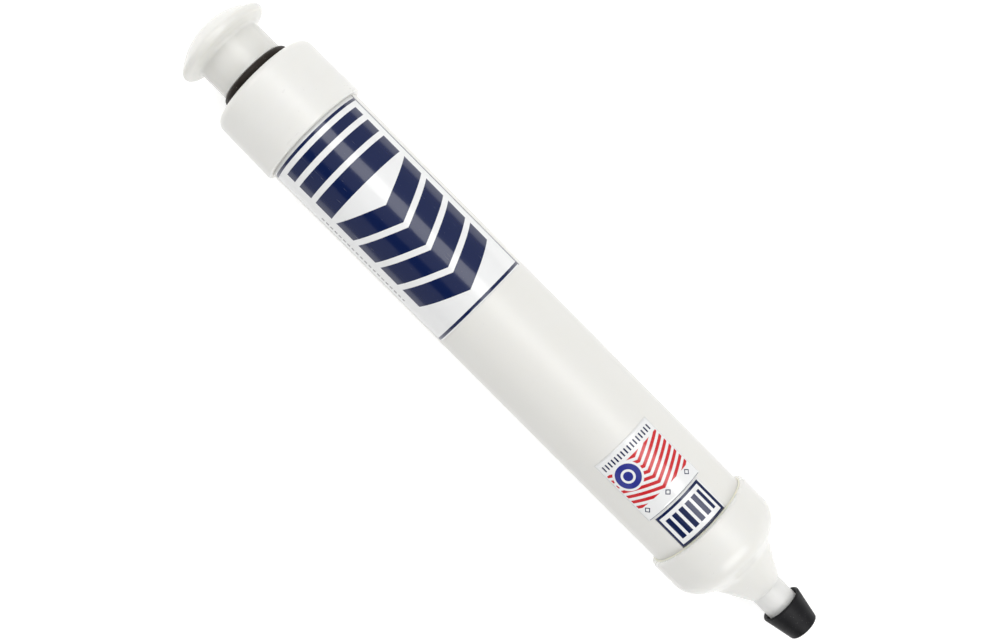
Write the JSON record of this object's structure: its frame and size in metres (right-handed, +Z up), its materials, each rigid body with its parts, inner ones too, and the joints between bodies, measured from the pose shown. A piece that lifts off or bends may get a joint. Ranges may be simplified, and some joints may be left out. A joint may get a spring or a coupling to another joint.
{
  "type": "hand inflation pump",
  "caption": "Hand inflation pump: pipe barrel with a push knob and sliding plunger, floating-ring piston, outlet valve and tapered rubber tip.",
  "frame": {"origin": "centre of the bounding box's base: under the middle of the pump's length, on the surface it lies on", "axes": "+X along the pump's axis towards the rubber tip, +Z up through the labels, +Y to the left seen from the knob; the axis is 33.25 mm above the base"},
  "size_m": [0.4498, 0.0666, 0.0665],
  "materials": {
    "pipe_white": "satin extruded pipe",
    "moulded_white": "glossy moulded",
    "tube_white": "satin extruded tube",
    "plate_plastic": "machined plate",
    "bushing_plastic": "moulded, slightly waxy",
    "bumper_rubber": "satin moulded",
    "seal_rubber": "greased",
    "tip_rubber": "smooth moulded, slightly glossy",
    "cement": "dried solvent cement",
    "brass": "turned",
    "steel": "zinc plated",
    "label_film": "glossy printed vinyl",
    "decal_film": "glossy printed vinyl",
    "plate_film": "glossy printed vinyl"
  },
  "bodies": {
    "barrel_body": {"barrel": "pipe_white", "top_collar": "moulded_white", "nozzle_bell": "moulded_white", "cement_bead": "cement", "nozzle_tube": "tube_white", "nozzle_tip": "tip_rubber", "valve_seat": "plate_plastic", "valve_guard": "plate_plastic", "main_label": "label_film", "stripe_decal": "decal_film", "size_plate": "plate_film"},
    "bushing": {"guide_bushing": "bushing_plastic"},
    "plunger": {"knob": "moulded_white", "bumper_ring": "bumper_rubber", "plunger_shaft": "pipe_white", "shaft_plug": "plate_plastic", "screw_insert": "brass", "rebound_ring": "bumper_rubber", "piston_back_plate": "plate_plastic", "piston_front_plate": "plate_plastic", "piston_washer": "steel", "piston_screw": "steel"},
    "seal": {"piston_seal": "seal_rubber"},
    "outlet_valve": {"valve_disc": "seal_rubber"}
  },
  "joints": [
    {"name": "plunger_spin", "type": "hinge", "parent": "barrel_body", "child": "bushing", "pos_m": [0, 0, 0.03325], "axis": [1, 0, 0], "continuous": true},
    {"name": "plunger_slide", "type": "slide", "parent": "bushing", "child": "plunger", "axis": [-1, 0, 0], "range_m": [-0.00035, 0.2937]},
    {"name": "seal_float", "type": "slide", "parent": "plunger", "child": "seal", "axis": [1, 0, 0], "range_m": [0, 0.0016]},
    {"name": "valve_lift", "type": "slide", "parent": "barrel_body", "child": "outlet_valve", "axis": [1, 0, 0], "range_m": [0, 0.0019]}
  ]
}
